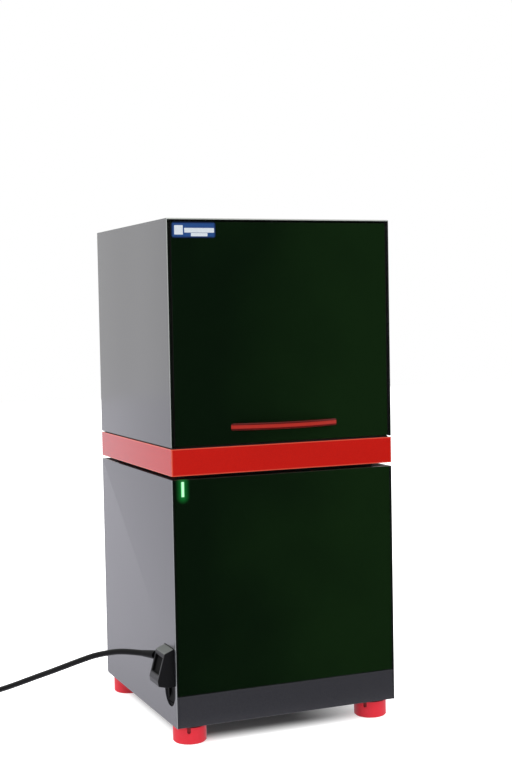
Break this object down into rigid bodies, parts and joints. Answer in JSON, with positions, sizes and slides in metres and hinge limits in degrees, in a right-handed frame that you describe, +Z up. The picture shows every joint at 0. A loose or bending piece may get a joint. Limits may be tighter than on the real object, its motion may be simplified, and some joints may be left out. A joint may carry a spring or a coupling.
{
  "type": "real-time PCR system",
  "caption": "Tower-shaped bench instrument with an upper flap door, a red band, a heated sample block, a moving lid and optics shuttle, and four round feet.",
  "frame": {"origin": "middle of the footprint at table level, measured over the body and its grip strip without the mains lead", "axes": "+Z up, the doors and status light face -Y, the mains inlet is on the -X side"},
  "size_m": [0.5497, 0.3596, 0.584],
  "materials": {
    "lacquered_sheet": "semi-gloss anthracite lacquer",
    "red_lacquer": "gloss red lacquer",
    "front_glass": "dark tinted glass, polished",
    "dark_sheet": "matt black powder coat",
    "red_rubber": "moulded red elastomer",
    "light_guide": "glowing light guide",
    "steel": "bright steel",
    "black_moulding": "moulded black plastic",
    "soft_black": "black rubber",
    "bare_aluminium": "milled aluminium",
    "black_anodised": "black anodised aluminium",
    "motor_case": "black lacquered motor case",
    "ceramic_plate": "white alumina",
    "zinc_sheet": "zinc plated sheet",
    "board_green": "solder mask green"
  },
  "bodies": {
    "housing": {"lower_casing": "lacquered_sheet", "hood": "lacquered_sheet", "base_strip": "lacquered_sheet", "band": "red_lacquer", "lower_glass": "front_glass", "base_plate": "dark_sheet", "lower_deck": "dark_sheet", "neck": "dark_sheet", "deck": "dark_sheet", "foot_front_left": "red_rubber", "foot_front_right": "red_rubber", "foot_rear_left": "red_rubber", "foot_rear_right": "red_rubber", "status_light": "light_guide", "foot_screws": "steel", "guide_rods": "steel", "rear_fan_guard": "steel", "data_socket": "steel", "hinge_studs": "steel", "power_inlet": "black_moulding", "block_fan_frame": "black_moulding", "rear_fan_frame": "black_moulding", "door_catch": "black_moulding", "mains_plug": "black_moulding", "mains_connector": "black_moulding", "block_seal": "soft_black", "strain_relief": "soft_black", "mains_cord": "soft_black", "cord_coil": "soft_black", "heat_sink": "bare_aluminium", "sample_block": "bare_aluminium", "gantry": "bare_aluminium", "lamp_module": "black_anodised", "detector": "black_anodised", "lift_motor": "motor_case", "wheel_motor": "motor_case", "peltier_modules": "ceramic_plate", "power_supply": "zinc_sheet", "casing_screws": "zinc_sheet", "main_board": "board_green"},
    "door": {"door_frame": "black_anodised", "door_glass": "front_glass", "grip_strip": "red_lacquer"},
    "lid": {"lid_carriage": "bare_aluminium", "lid_plate": "bare_aluminium", "lift_screw": "steel", "shuttle_rail": "steel", "shuttle_motor": "motor_case", "shuttle_belt": "soft_black"},
    "shuttle": {"shuttle_head": "black_moulding"},
    "drive_pulley": {"drive_pulley": "steel"},
    "idler_pulley": {"idler_pulley": "steel"},
    "filter_wheel": {"filter_wheel": "black_anodised"},
    "block_fan": {"block_fan_rotor": "black_moulding"},
    "rear_fan": {"rear_fan_rotor": "black_moulding"},
    "rocker": {"rocker_switch": "black_moulding"}
  },
  "joints": [
    {"name": "door_hinge", "type": "hinge", "parent": "housing", "child": "door", "pos_m": [0, -0.12625, 0.57429], "axis": [-1, 0, 0], "range_deg": [0, 90]},
    {"name": "lid_lift", "type": "slide", "parent": "housing", "child": "lid", "axis": [0, 0, 1], "range_m": [-0.027, 0]},
    {"name": "shuttle_slide", "type": "slide", "parent": "lid", "child": "shuttle", "axis": [1, 0, 0], "range_m": [-0.0495, 0.0495]},
    {"name": "drive_pulley_spin", "type": "hinge", "parent": "lid", "child": "drive_pulley", "pos_m": [0.078, 0.02595, 0.407], "axis": [0, 0, 1], "range_deg": [-360, 360]},
    {"name": "idler_pulley_spin", "type": "hinge", "parent": "lid", "child": "idler_pulley", "pos_m": [-0.078, 0.02595, 0.407], "axis": [0, 0, 1], "range_deg": [-360, 360]},
    {"name": "filter_wheel_spin", "type": "hinge", "parent": "housing", "child": "filter_wheel", "pos_m": [-0.058, 0.06945, 0.538], "axis": [0, 0, 1], "continuous": true},
    {"name": "block_fan_spin", "type": "hinge", "parent": "housing", "child": "block_fan", "pos_m": [0, -0.03455, 0.264], "axis": [0, 0, 1], "continuous": true},
    {"name": "rear_fan_spin", "type": "hinge", "parent": "housing", "child": "rear_fan", "pos_m": [0.06, 0.12725, 0.091], "axis": [0, 1, 0], "continuous": true},
    {"name": "rocker_tilt", "type": "hinge", "parent": "housing", "child": "rocker", "pos_m": [-0.127, -0.10725, 0.056], "axis": [0, 1, 0], "range_deg": [-12, 0]}
  ],
  "couplings": [
    {"joint": "drive_pulley_spin", "follows": "shuttle_slide", "rad_per_m": 125},
    {"joint": "idler_pulley_spin", "follows": "shuttle_slide", "rad_per_m": 125}
  ]
}
